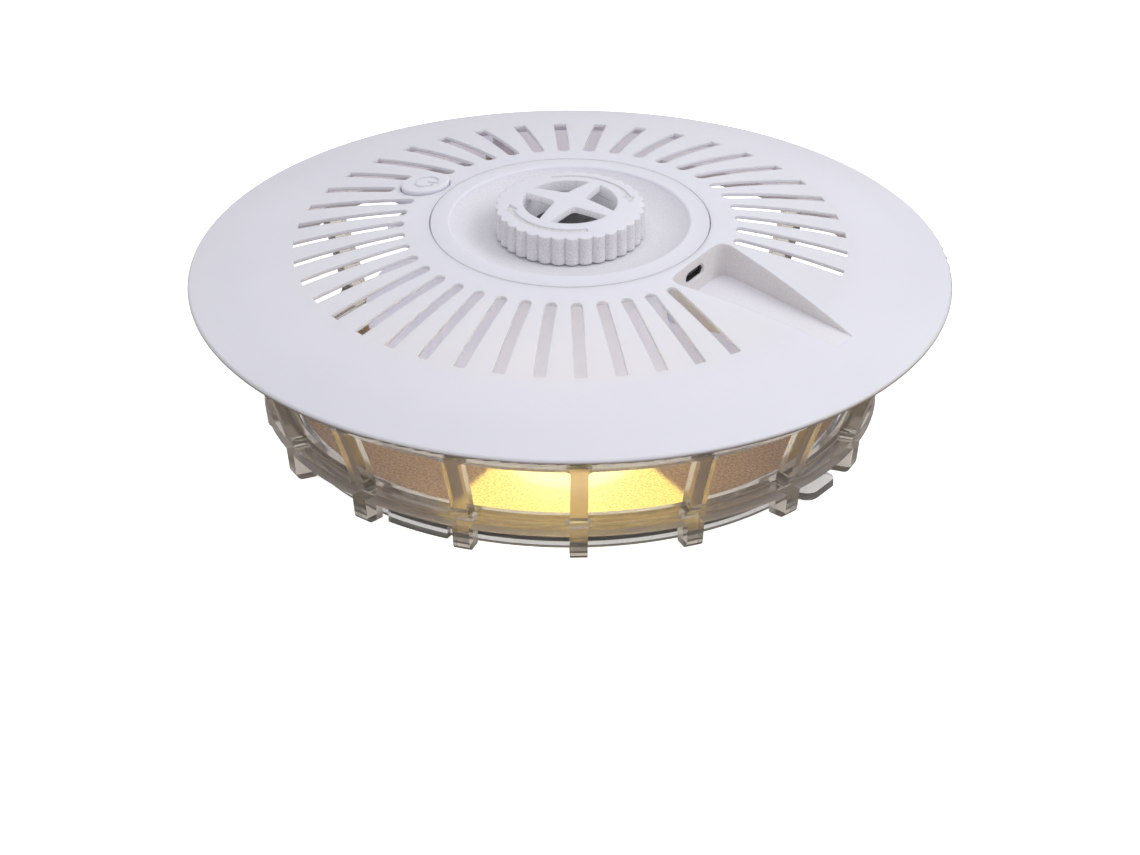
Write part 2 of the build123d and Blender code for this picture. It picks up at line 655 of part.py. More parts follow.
# ---------------------------------------------------------------- lamp under the dome
def housing_shell():
    """A drum that flares out to a rim, closed below by a shallow cone that ends in the lens's nose."""
    nose_in = LENS_R + 0.2
    seat_z = HUB_NOSE_Z + LENS_T + SEAT
    cone_z = HUB_NOSE_Z + HUB_NOSE_H
    under_rim = (HUB_RIM_R, HUB_RIM_Z - HUB_RIM_T)
    rise = (under_rim[1] - cone_z) / (HUB_RIM_R - HUB_NOSE_R)
    ledge_in = nose_in - HUB_LEDGE_T
    inside_rim_r = HUB_RIM_R - HUB_T - 0.4
    inside_rim = (inside_rim_r, cone_z + HUB_T + rise * (inside_rim_r - HUB_NOSE_R))
    inside_ledge = (ledge_in, cone_z + HUB_T + rise * (ledge_in - HUB_NOSE_R))
    drum_out = (HUB_R, HUB_FLARE_Z)
    drum_in = (HUB_R - HUB_T, HUB_FLARE_Z)
    flare_in = (HUB_FLARE_MID[0] - HUB_T, HUB_FLARE_MID[1] - 0.6)
    return spin(outline(
        line((HUB_R, HUB_TOP_Z), drum_out),
        arc(drum_out, HUB_FLARE_MID, (HUB_RIM_R, HUB_RIM_Z)),
        line((HUB_RIM_R, HUB_RIM_Z), under_rim),
        line(under_rim, (HUB_NOSE_R, cone_z)),
        line((HUB_NOSE_R, cone_z), (HUB_NOSE_R, HUB_NOSE_Z)),
        line((HUB_NOSE_R, HUB_NOSE_Z), (nose_in, HUB_NOSE_Z)),
        line((nose_in, HUB_NOSE_Z), (nose_in, seat_z)),
        line((nose_in, seat_z), (ledge_in, seat_z)),
        line((ledge_in, seat_z), inside_ledge),
        line(inside_ledge, inside_rim),
        arc(inside_rim, flare_in, drum_in),
        line(drum_in, (HUB_R - HUB_T, HUB_TOP_Z)),
        line((HUB_R - HUB_T, HUB_TOP_Z), (HUB_R, HUB_TOP_Z))))


def lamp_housing():
    """The housing with its posts, the shelf for the button's board, and room for pocket and button."""
    body = housing_shell()
    floor_z = HUB_NOSE_Z + HUB_NOSE_H + HUB_T / 2
    for angle in POST_ANGLES:
        post = on_circle(POST_R, angle) * disc(POST_OUT_R, floor_z, POST_TOP_Z)
        cone = spin(polygon((0, floor_z), (HUB_NOSE_R, floor_z), (HUB_RIM_R, HUB_RIM_Z - HUB_RIM_T),
                            (HUB_RIM_R, HUB_TOP_Z), (0, HUB_TOP_Z)))
        body += post & cone
    shelf_in = HUB_T - HUB_R
    shelf = Pos((SHELF_OUT_X + shelf_in) / 2, 0, SHELF_TOP_Z - SHELF_T / 2) * Box(
        shelf_in - SHELF_OUT_X, 2 * SHELF_HALF, SHELF_T)
    body += shelf
    notch_h = 2 * (HUB_TOP_Z - SHELF_TOP_Z)
    body -= Pos(BUTTON_X, 0, HUB_TOP_Z) * Box(NOTCH_L, 2 * SHELF_HALF + 2, notch_h)
    body -= pocket(POCKET_WALL + NOTCH_GAP)
    for angle in POST_ANGLES:
        body -= on_circle(POST_R, angle) * disc(POST_SINK_R, HUB_NOSE_Z, POST_TOP_Z - POST_FLOOR_T)
        body -= on_circle(POST_R, angle) * disc(POST_HOLE_R, POST_TOP_Z - 4, POST_TOP_Z + 1)
    for x in SMALL_BOARD_SCREW_X:
        body -= Pos(x, 0, 0) * disc(SMALL_SCREW_R + 0.05, SHELF_TOP_Z - SHELF_T - 1, SHELF_TOP_Z + 1)
    return body


def housing_screws():
    up = screw(POST_PILOT_R - 0.05, POST_SCREW_L, 2.3, 1.5)
    return Compound([on_circle(POST_R, angle, POST_TOP_Z - POST_FLOOR_T) * up for angle in POST_ANGLES])


def lamp_lens():
    """A round lens in three low steps."""
    low = HUB_NOSE_Z
    lens = disc(LENS_R, low, low + LENS_T)
    lens += disc(LENS_R - 4, low - 0.8, low)
    lens += disc(LENS_R - 8.5, low - 1.5, low - 0.8)
    return lens


def lamp_reflector():
    """A cone that throws the light down on the disc."""
    low = HUB_NOSE_Z + LENS_T + SEAT
    high = LAMP_BOARD_Z - 0.2
    return spin(polygon((15.4, low), (6.6, high), (5.6, high), (14.4, low)))


def lamp_board():
    return disc(LAMP_BOARD_R, LAMP_BOARD_Z, LAMP_BOARD_Z + LAMP_BOARD_T)


def lamp_leds():
    chip = Pos(LED_CIRCLE_R, 0, LAMP_BOARD_Z - LED_SIZE[2] / 2) * Box(*LED_SIZE)
    return Compound([Rot(0, 0, index * 360 / LED_COUNT) * chip for index in range(LED_COUNT)])


# ---------------------------------------------------------------- clear cage
def window_cutter():
    """The space between two ribs, with rounded corners."""
    half = radians(180 / RIB_COUNT)
    reach = COVER_R
    near = 70.0
    gap = RIB_W / 2

    def edge_y(x, side):
        return side * (x * sin(half) - gap) / cos(half)

    plan = make_face(Polyline((near, edge_y(near, -1)), (reach, edge_y(reach, -1)),
                              (reach, edge_y(reach, 1)), (near, edge_y(near, 1)), close=True))
    block = Pos(0, 0, FLANGE_TOP_Z) * extrude(plan, WINDOW_TOP_Z - FLANGE_TOP_Z)
    flat = block.faces().filter_by(Axis.Z)
    long_edges = [edge for face in flat for edge in face.edges() if abs(edge.length - (reach - near)) < 5]
    return fillet(long_edges, WINDOW_CORNER)


def trap_cage():
    ring_out = RIB_TOP_R + 1.4
    ring_in = ring_out - RING_T
    rib_in = RIB_TOP_R - RIB_DEPTH
    flange_in = FLANGE_R - RIB_DEPTH
    wall = spin(outline(
        line((FLANGE_R, FLANGE_Z), (FLANGE_R, FLANGE_TOP_Z)),
        arc((FLANGE_R, FLANGE_TOP_Z), RIB_MID, (RIB_TOP_R, WINDOW_TOP_Z)),
        line((RIB_TOP_R, WINDOW_TOP_Z), (ring_out, RING_Z)),
        line((ring_out, RING_Z), (ring_out, RING_TOP_Z)),
        line((ring_out, RING_TOP_Z), (ring_in, RING_TOP_Z + 0.6)),
        line((ring_in, RING_TOP_Z + 0.6), (ring_in, RING_Z)),
        line((ring_in, RING_Z), (rib_in, WINDOW_TOP_Z)),
        arc((rib_in, WINDOW_TOP_Z), (RIB_MID[0] - RIB_DEPTH, RIB_MID[1]), (flange_in, FLANGE_TOP_Z)),
        line((flange_in, FLANGE_TOP_Z), (flange_in, FLANGE_Z)),
        line((flange_in, FLANGE_Z), (FLANGE_R, FLANGE_Z))))
    cutter = window_cutter()
    cage = wall - [Rot(0, 0, index * 360 / RIB_COUNT) * cutter for index in range(RIB_COUNT)]
    cage += spin(polygon((FLANGE_IN_R, FLANGE_Z), (LIP_R, FLANGE_Z), (LIP_R, FLANGE_TOP_Z + 0.5),
                         (LIP_R - 0.8, LIP_Z), (FLANGE_IN_R, LIP_Z)))
    foot = extrude(outline(
        line((FOOT_IN_R, 0), (FOOT_OUT_R - FOOT_CORNER, 0)),
        arc((FOOT_OUT_R - FOOT_CORNER, 0),
            (FOOT_OUT_R - FOOT_CORNER * (1 - sin(radians(45))), FOOT_CORNER * (1 - sin(radians(45)))),
            (FOOT_OUT_R, FOOT_CORNER)),
        line((FOOT_OUT_R, FOOT_CORNER), (FLANGE_R, FLANGE_Z)),
        line((FLANGE_R, FLANGE_Z), (FLANGE_R, FLANGE_Z + 1)),
        line((FLANGE_R, FLANGE_Z + 1), (FLANGE_IN_R, FLANGE_Z + 1)),
        line((FLANGE_IN_R, FLANGE_Z + 1), (FOOT_IN_R, FLANGE_Z)),
        line((FOOT_IN_R, FLANGE_Z), (FOOT_IN_R, 0))), RIB_W / 2, both=True)
    for index in range(RIB_COUNT):
        cage += Rot(0, 0, RIB_PHASE + index * 360 / RIB_COUNT) * foot
    for angle in EAR_ANGLES:
        reach = ring_in - EAR_R + 0.4
        ear = disc(EAR_TIP_R, EAR_Z, EAR_Z + EAR_T) + Pos(reach / 2, 0, EAR_Z + EAR_T / 2) * Box(
            reach, 2 * EAR_TIP_R, EAR_T)
        cage += on_circle(EAR_R, angle) * (ear - disc(EAR_HOLE_R, EAR_Z - 1, EAR_Z + EAR_T + 1))
    return cage


def cage_screws():
    up = screw(EAR_PILOT_R - 0.05, EAR_SCREW_L, 2.6, 1.7)
    return Compound([on_circle(EAR_R, angle, EAR_Z) * up for angle in EAR_ANGLES])


# ---------------------------------------------------------------- dish with the sticky disc
def glue_tray():
    inner = TRAY_R - TRAY_WALL
    under = TRAY_FLOOR_Z - TRAY_FLOOR_T
    tray = spin(polygon((0, under), (inner - 2, under), (inner - 2, 0), (TRAY_R - 1, 0), (TRAY_R, 1),
                        (TRAY_R, TRAY_TOP_Z - 0.6), (TRAY_R - 0.6, TRAY_TOP_Z), (inner, TRAY_TOP_Z),
                        (inner, TRAY_FLOOR_Z), (0, TRAY_FLOOR_Z)))
    tab_in = TRAY_R - 1.2
    tab = Pos((tab_in + TAB_OUT_R) / 2, 0, TAB_T / 2 + 0.2) * Box(TAB_OUT_R - tab_in, 2 * TAB_HALF, TAB_T)
    tab = fillet(tab.edges().filter_by(Axis.Z).group_by(Axis.X)[-1], 3.2)
    grip = extrude(Circle(GRIP_OUT_R), FLANGE_Z - 1.2) - disc(TRAY_R - 0.8, -1, FLANGE_Z)
    wedge = make_face(Polyline((0, 0), (90, -90 * sin(radians(GRIP_HALF_DEG))),
                               (90, 90 * sin(radians(GRIP_HALF_DEG))), close=True))
    grip &= Rot(0, 0, GRIP_ANGLE) * extrude(wedge, FLANGE_Z)
    return tray + tab + Pos(0, 0, 0.4) * grip


def sticky_card():
    return disc(CARD_R, TRAY_FLOOR_Z, TRAY_FLOOR_Z + CARD_T)


def glue_layer():
    layer = disc(GLUE_R, TRAY_FLOOR_Z + CARD_T, TRAY_FLOOR_Z + CARD_T + GLUE_T)
    return fillet(layer.edges().group_by(Axis.Z)[-1], GLUE_T * 0.6)


NODES = {
    "dome_cover": dome_cover, "well_insert": well_insert, "knob_seal": knob_seal,
    "twist_knob": twist_knob, "lure_cup": lure_cup, "lure_block": lure_block,
    "power_button": power_button, "tact_plunger": tact_plunger, "tact_switch": tact_switch,
    "button_board": button_board, "button_board_screws": button_board_screws,
    "button_wires": button_wires, "circuit_board": circuit_board, "board_screws": board_screws,
    "usb_socket": usb_socket, "usb_tongue": usb_tongue, "control_chip": control_chip,
    "board_capacitors": board_capacitors, "lamp_wires": lamp_wires, "lamp_housing": lamp_housing,
    "housing_screws": housing_screws, "lamp_lens": lamp_lens, "lamp_reflector": lamp_reflector,
    "lamp_board": lamp_board, "lamp_leds": lamp_leds, "trap_cage": trap_cage,
    "cage_screws": cage_screws, "glue_tray": glue_tray, "sticky_card": sticky_card,
    "glue_layer": glue_layer,
}

for name, make in NODES.items():
    save(make(), name)
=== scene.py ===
"""Looks, lights and camera for the round insect trap.  Metres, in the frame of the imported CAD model."""

from math import cos, radians, sin

import bpy
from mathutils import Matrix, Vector


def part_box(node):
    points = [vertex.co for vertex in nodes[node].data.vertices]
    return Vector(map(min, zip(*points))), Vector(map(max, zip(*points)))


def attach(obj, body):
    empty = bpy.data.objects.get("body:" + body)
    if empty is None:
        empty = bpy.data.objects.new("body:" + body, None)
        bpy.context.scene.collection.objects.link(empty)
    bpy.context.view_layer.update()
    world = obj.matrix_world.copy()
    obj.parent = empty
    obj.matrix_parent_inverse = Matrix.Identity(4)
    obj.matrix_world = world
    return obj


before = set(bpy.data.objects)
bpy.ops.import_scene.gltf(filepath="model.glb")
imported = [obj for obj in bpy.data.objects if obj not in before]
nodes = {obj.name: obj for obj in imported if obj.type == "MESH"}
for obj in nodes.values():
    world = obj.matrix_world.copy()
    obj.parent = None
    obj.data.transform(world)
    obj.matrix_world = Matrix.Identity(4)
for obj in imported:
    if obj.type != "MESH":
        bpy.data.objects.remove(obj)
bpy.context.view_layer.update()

MM = 0.001
dome_low, dome_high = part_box("dome_cover")
RIM_R = (dome_high[0] - dome_low[0]) / 2
lens_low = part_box("lamp_lens")[0]
insert_low, insert_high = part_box("well_insert")
knob_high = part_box("twist_knob")[1]
CROWN_BALL_R = 106.06 * MM
WINDOW_R = 13.0 * MM
RIM_Z = 42.0 * MM
COVER_RISE = 21.6 * MM
POCKET_COS = 0.943             # of the angle that the pocket takes each side of +X
COVER_BALL_R = (RIM_R ** 2 + COVER_RISE ** 2) / (2 * COVER_RISE)
RING_Z = 37.0 * MM
SKIRT_R = 88.1 * MM
SKIRT_TOP_Z = 46.6 * MM
SKIRT_W = 2.0 * MM             # how far in from SKIRT_R the skirt's wall is taken to go
COLLAR_W = 5.6 * MM            # the insert's smooth collar, outside its bowl
FADE = 0.3 * MM                # the usual width of a mask's soft edge
SKIN_TOP = 0.12 * MM           # a depth below a ball's skin where a mask starts, and where it is full
SKIN_FULL = 0.25 * MM

# The sockets of a Mix node that belong to its colour mode.
MIX_FACTOR, MIX_FIRST, MIX_SECOND, MIX_COLOUR = 0, 6, 7, 2


# ---------------------------------------------------------------- node helpers
def fill_ramp(ramp, stops):
    """Give a colour ramp node its (position, colour) stops."""
    elements = ramp.color_ramp.elements
    while len(elements) < len(stops):
        elements.new(0.5)
    for element, (position, colour) in zip(elements, stops):
        element.position = position
        element.color = (*colour, 1.0)


class Look:
    """A material under construction, with short calls for the nodes that the looks share."""

    def __init__(self, name):
        self.material = bpy.data.materials.new(name)
        self.material.use_nodes = True
        self.tree = self.material.node_tree
        self.shader = self.tree.nodes["Principled BSDF"]
        self.place = self.tree.nodes.new("ShaderNodeTexCoord").outputs["Object"]

    def node(self, kind, **inputs):
        """A shader node with its inputs set by name, from a value or from another node's output."""
        made = self.tree.nodes.new("ShaderNode" + kind)
        for key, value in inputs.items():
            self.put(made.inputs[key.replace("_", " ")], value)
        return made

    def put(self, socket, value):
        if hasattr(value, "node"):
            self.tree.links.new(value, socket)
        elif isinstance(value, tuple) and len(value) == 3 and socket.type == "RGBA":
            socket.default_value = (*value, 1.0)
        else:
            socket.default_value = value

    def noise(self, scale, detail=2.0, roughness=0.5):
        return self.node("TexNoise", Vector=self.place, Scale=scale, Detail=detail,
                         Roughness=roughness).outputs["Fac"]

    def ramp(self, value, stops):
        """A colour ramp with (position, colour) stops."""
        made = self.node("ValToRGB", Fac=value)
        fill_ramp(made, stops)
        return made.outputs["Color"]

    def span(self, value, low, high, out_low, out_high):
        """Map a value from one range to another, held at the ends."""
        made = self.tree.nodes.new("ShaderNodeMapRange")
        self.tree.links.new(value, made.inputs["Value"])
        for key, number in zip(("From Min", "From Max", "To Min", "To Max"), (low, high, out_low, out_high)):
            made.inputs[key].default_value = number
        return made.outputs["Result"]

    def maths(self, operation, first, second):
        made = self.tree.nodes.new("ShaderNodeMath")
        made.operation = operation
        self.put(made.inputs[0], first)
        self.put(made.inputs[1], second)
        return made.outputs[0]

    def mix(self, factor, first, second, mode="MIX"):
        made = self.tree.nodes.new("ShaderNodeMix")
        made.data_type = "RGBA"
        made.blend_type = mode
        self.put(made.inputs[MIX_FACTOR], factor)
        self.put(made.inputs[MIX_FIRST], first)
        self.put(made.inputs[MIX_SECOND], second)
        return made.outputs[MIX_COLOUR]

    def bump(self, height, strength, distance, normal=None):
        made = self.node("Bump", Height=height, Strength=strength, Distance=distance)
        if normal:
            self.put(made.inputs["Normal"], normal)
        self.put(self.shader.inputs["Normal"], made.outputs["Normal"])

    def rounded(self, radius):
        """The normal of the surface with its edges rounded off, and a mask that is 1 on those edges."""
        bevel = self.tree.nodes.new("ShaderNodeBevel")
        bevel.samples = 4
        bevel.inputs["Radius"].default_value = radius
        plain = self.tree.nodes.new("ShaderNodeNewGeometry").outputs["Normal"]
        dot = self.tree.nodes.new("ShaderNodeVectorMath")
        dot.operation = "DOT_PRODUCT"
        self.put(dot.inputs[0], bevel.outputs["Normal"])
        self.put(dot.inputs[1], plain)
        return bevel.outputs["Normal"], self.span(dot.outputs["Value"], 0.80, 0.97, 1.0, 0.0)

    def edge(self, low, high):
        """1 on worn convex edges, 0 elsewhere."""
        pointed = self.tree.nodes.new("ShaderNodeNewGeometry").outputs["Pointiness"]
        return self.span(pointed, low, high, 0.0, 1.0)

    def radius(self):
        """Distance from the object's own Z axis."""
        flat = self.tree.nodes.new("ShaderNodeVectorMath")
        flat.operation = "MULTIPLY"
        self.put(flat.inputs[0], self.place)
        flat.inputs[1].default_value = (1.0, 1.0, 0.0)
        length = self.tree.nodes.new("ShaderNodeVectorMath")
        length.operation = "LENGTH"
        self.put(length.inputs[0], flat.outputs["Vector"])
        return length.outputs["Value"]

    def height(self):
        """Distance above the CAD frame's origin."""
        return self.node("SeparateXYZ", Vector=self.place).outputs["Z"]

    def upward(self):
        """1 where the surface faces straight up, -1 where it faces straight down."""
        normal = self.tree.nodes.new("ShaderNodeNewGeometry").outputs["Normal"]
        return self.node("SeparateXYZ", Vector=normal).outputs["Z"]

    def set(self, **values):
        for key, value in values.items():
            self.put(self.shader.inputs[key.replace("_", " ")], value)
        return self


def give(material, *names):
    """Put one material on each named CAD node."""
    for name in names:
        slots = nodes[name].data.materials
        slots.clear()
        slots.append(material)


# ---------------------------------------------------------------- materials
WHITE_LOW = (0.755, 0.755, 0.85)
WHITE_HIGH = (0.785, 0.785, 0.88)
# The colour of the painted highlight on white plastic's edges.
WHITE_EDGE_HIGHLIGHT = (0.86, 0.86, 0.93)
GRAIN_TONES = ((0.64, 0.62, 0.65), (0.775, 0.765, 0.81))
BOWL_TONES = ((0.72, 0.715, 0.77), (0.785, 0.78, 0.85))
POCKET_TONES = ((0.69, 0.665, 0.67), (0.77, 0.745, 0.755))
RING_TINT = (0.30, 0.22, 0.15)
# Painted shade on the lower half of the dome's rim.
RIM_PAINTED_SHADE = (0.34, 0.29, 0.25)
RIM_BAND_FROM = 1.6 * MM       # how far in from the rim's edge its painted shade starts, and where it is full
RIM_BAND_FULL = 1.0 * MM
EDGE_ROUND = 0.45 * MM         # the rounding that edges of white plastic seem to have
CLEAR_EDGE = 0.5 * MM          # the width of a clear piece's lighter edges
FINE_BUMP = 0.1 * MM
HOUSING_PAINTED_LIGHT = 0.27            # painted light: emission that makes the housing's white plastic glow, though it is no lamp
# Painted light as emission, on the dome's skirt and inside the knob's bore.
SKIRT_PAINTED_LIGHT = 0.32
BORE_PAINTED_LIGHT = 0.14
FLOOR_PAINTED_LIGHT_SHARE = 0.2         # painted light on the pocket's floor, as a share of SKIRT_PAINTED_LIGHT
FLOOR_PAINTED_LIGHT_GRAIN_SHARE = 0.45       # of the pocket's grain, on its floor, kept faint so that the up-facing floor is painted lighter
LENS_GLOW = 5.0
LED_GLOW = 20.0
WORN_FROM, WORN_FULL = 0.54, 0.66   # the Pointiness at which an edge starts to look worn, and is fully worn
WALL_GLOW = 3.0 * MM           # how far light creeps through white plastic


def white_plastic(name, grain_mask=None, painted_light=0.0, painted_light_mask=None, grain_tones=GRAIN_TONES, painted_shade_mask=None):
    """Satin moulded plastic.  Where grain_mask(look) is 1 it has a fine spark-eroded texture.

    Where painted_light_mask(look) is 1 it gives off painted light at the strength that glow sets, though the
    plastic is no lamp.
    Where painted_shade_mask(look) is 1 it is coloured RIM_PAINTED_SHADE, as painted shade."""
    look = Look(name)
    # Painted light: emission where the mask is 1.
    if painted_light_mask:
        painted_light = look.maths("MULTIPLY", painted_light_mask(look), painted_light)
    tone = look.ramp(look.noise(18.0, 3.0), [(0.3, WHITE_LOW), (0.7, WHITE_HIGH)])
    rough = look.span(look.noise(260.0), 0.3, 0.7, 0.42, 0.52)
    height = look.noise(1800.0, 3.0)
    if grain_mask:
        mask = grain_mask(look)
        grain = look.noise(2300.0, 2.0, 0.6)
        tone = look.mix(mask, tone, look.ramp(grain, [(0.34, grain_tones[0]), (0.62, grain_tones[1])]))
        rough = look.mix(mask, rough, (0.6, 0.6, 0.6))
        height = look.maths("MULTIPLY", grain, look.span(mask, 0.0, 1.0, 0.15, 1.0))
    # Painted shade: the rim's lower half is coloured darker where the mask is 1.
    if painted_shade_mask:
        tone = look.mix(painted_shade_mask(look), tone, RIM_PAINTED_SHADE)
    # Painted highlight: the colour is lightened towards WHITE_EDGE_HIGHLIGHT on the rounded edges.
    rounded, lighter_edges = look.rounded(EDGE_ROUND)
    look.set(Base_Color=look.mix(look.maths("MULTIPLY", lighter_edges, 0.6), tone, WHITE_EDGE_HIGHLIGHT), Roughness=rough,
             Specular_IOR_Level=0.4, Subsurface_Weight=0.5, Subsurface_Radius=(1.0, 1.0, 1.0),
             Subsurface_Scale=WALL_GLOW, Emission_Color=WHITE_HIGH, Emission_Strength=painted_light)
    look.bump(height, 0.14, FINE_BUMP, rounded)
    return look.material


def bowl_mask(look):
    """The insert's bowl and neck, inside its smooth collar."""
    collar = (insert_high[0] - insert_low[0]) / 2 - COLLAR_W
    return look.span(look.radius(), collar - 0.4 * MM, collar, 1.0, 0.0)


def skirt_mask(look):
    """The part of the rim under the dome that the cage's ring surrounds."""
    inside = look.span(look.radius(), SKIRT_R, SKIRT_R + FADE, 1.0, 0.0)
    outside = look.span(look.radius(), SKIRT_R - SKIRT_W - FADE, SKIRT_R - SKIRT_W, 0.0, 1.0)
    below = look.span(look.height(), SKIRT_TOP_Z - 0.5 * MM, SKIRT_TOP_Z, 1.0, 0.0)
    above = look.span(look.height(), RING_Z + 0.5 * MM, RING_Z + 1.0 * MM, 0.0, 1.0)
    across = look.maths("MULTIPLY", inside, outside)
    upright = look.maths("MULTIPLY", below, above)
    return look.maths("MULTIPLY", across, upright)


def under_ball(look, top, radius):
    """1 below the skin of a ball whose highest point is on the axis at this height, 0 on the skin."""
    from_middle = look.tree.nodes.new("ShaderNodeVectorMath")
    from_middle.operation = "DISTANCE"
    look.put(from_middle.inputs[0], look.place)
    from_middle.inputs[1].default_value = (0.0, 0.0, top - radius)
    return look.span(from_middle.outputs["Value"], radius - SKIN_FULL, radius - SKIN_TOP, 1.0, 0.0)


def side_mask(look):
    """Everything below the knob's smooth crown: its sides and its sunk arrows."""
    return under_ball(look, knob_high[2], CROWN_BALL_R)


def pocket_mask(look):
    """The walls and floor of the dome's pocket: below its outer skin, close to the +X axis."""
    along = look.node("SeparateXYZ", Vector=look.place).outputs["X"]
    turned = look.maths("DIVIDE", along, look.radius())
    near_axis = look.span(turned, POCKET_COS - 0.002, POCKET_COS, 0.0, 1.0)
    return look.maths("MULTIPLY", near_axis, under_ball(look, RIM_Z + COVER_RISE, COVER_BALL_R))


def pocket_floor_mask(look):
    """The part of the pocket that faces up."""
    return look.maths("MULTIPLY", pocket_mask(look), look.span(look.upward(), 0.7, 0.9, 0.0, 1.0))


def rim_painted_shade_mask(look):
    """The lower half of the dome's rounded edge, which is coloured darker as painted shade."""
    outer = look.span(look.radius(), RIM_R - RIM_BAND_FROM, RIM_R - RIM_BAND_FULL, 0.0, 1.0)
    return look.maths("MULTIPLY", outer, look.span(look.upward(), -0.35, 0.30, 1.0, 0.0))


def dome_painted_light_mask(look):
    """Where the dome glows with painted light: the skirt under it, and the pocket's floor a little."""
    floor_painted_light = look.maths("MULTIPLY", pocket_floor_mask(look), FLOOR_PAINTED_LIGHT_SHARE)
    return look.maths("ADD", skirt_mask(look), floor_painted_light)


def pocket_grain_mask(look):
    """The grain of the pocket, which is fainter on its up-facing floor so that the floor is painted lighter.
    """
    faint = look.span(pocket_floor_mask(look), 0.0, 1.0, 1.0, FLOOR_PAINTED_LIGHT_GRAIN_SHARE)
    return look.maths("MULTIPLY", pocket_mask(look), faint)


def bore_mask(look):
    """The walls inside the knob, below its crown."""
    inside = look.span(look.radius(), WINDOW_R + 0.2 * MM, WINDOW_R + 0.5 * MM, 1.0, 0.0)
    return look.maths("MULTIPLY", side_mask(look), inside)


def clear_plastic(name, dark, light):
    """Clear moulded plastic of a smoky tint, with faint flow marks, a hazy skin and lighter edges.

    The thick ring at the top of the cage looks browner than the rest."""
    look = Look(name)
    flow = look.noise(30.0, 2.0, 0.4)
    tint = look.ramp(flow, [(0.3, dark), (0.7, light)])
    tint = look.mix(look.span(look.height(), RING_Z - 0.5 * MM, RING_Z, 0.0, 1.0), tint, RING_TINT)
    haze = look.span(look.noise(300.0), 0.3, 0.7, 0.05, 0.12)
    lighter_edges = look.rounded(CLEAR_EDGE)[1]
    lighter_edge_tone = tuple(min(1.0, channel + 0.12) for channel in light)
    look.set(Base_Color=look.mix(look.maths("MULTIPLY", lighter_edges, 0.5), tint, lighter_edge_tone),
             Transmission_Weight=0.80, IOR=1.45, Roughness=haze)
    look.bump(flow, 0.04, 5 * FINE_BUMP)
    return look.material


def sticky_glue():
    """A wet-looking adhesive with fine sandy grain, over yellow card."""
    look = Look("glue_gloss")
    grain = look.noise(1400.0, 2.0, 0.6)
    fine = look.ramp(grain, [(0.34, (0.37, 0.245, 0.145)), (0.50, (0.52, 0.375, 0.24)),
                             (0.66, (0.68, 0.51, 0.35))])
    broad = look.ramp(look.noise(14.0, 3.0), [(0.3, (0.90, 0.88, 0.86)), (0.7, (1.0, 1.0, 1.0))])
    look.set(Base_Color=look.mix(1.0, fine, broad, "MULTIPLY"),
             Roughness=look.span(look.noise(240.0), 0.3, 0.7, 0.30, 0.42),
             Coat_Weight=0.5, Coat_Roughness=0.02)
    look.bump(grain, 0.05, FINE_BUMP)
    return look.material


def yellow_card():
    """Printed card with paper fibre."""
    look = Look("card_yellow")
    fibre = look.noise(700.0, 4.0, 0.6)
    look.set(Base_Color=look.ramp(fibre, [(0.3, (0.88, 0.50, 0.0)), (0.7, (0.99, 0.62, 0.02))]),
             Roughness=look.span(fibre, 0.3, 0.7, 0.55, 0.7))
    look.bump(fibre, 0.3, FINE_BUMP)
    return look.material


def speckled(name, dark, light, rough, scale=600.0, strength=0.2, metallic=0.0):
    """A plain part's finish: two close tones in fine grain, uneven gloss and light wear on edges."""
    look = Look(name)
    grain = look.noise(scale, 3.0, 0.6)
    tone = look.ramp(grain, [(0.3, dark), (0.7, light)])
    brighter = tuple(min(1.0, channel * 1.3 + 0.03) for channel in light)
    look.set(Base_Color=look.mix(look.edge(WORN_FROM, WORN_FULL), tone, brighter), Metallic=metallic,
             Roughness=look.span(look.noise(scale / 4), 0.3, 0.7, rough - 0.06, rough + 0.06))
    look.bump(grain, strength, FINE_BUMP)
    return look.material


def glowing(name, colour, strength):
    """A lit surface with a faintly frosted face."""
    look = Look(name)
    frost = look.noise(400.0, 2.0)
    tone = look.ramp(frost, [(0.3, tuple(0.92 * channel for channel in colour)), (0.7, colour)])
    look.set(Base_Color=tone, Roughness=look.span(frost, 0.3, 0.7, 0.3, 0.45),
             Emission_Color=tone, Emission_Strength=strength)
    look.bump(frost, 0.1, FINE_BUMP / 2)
    return look.material


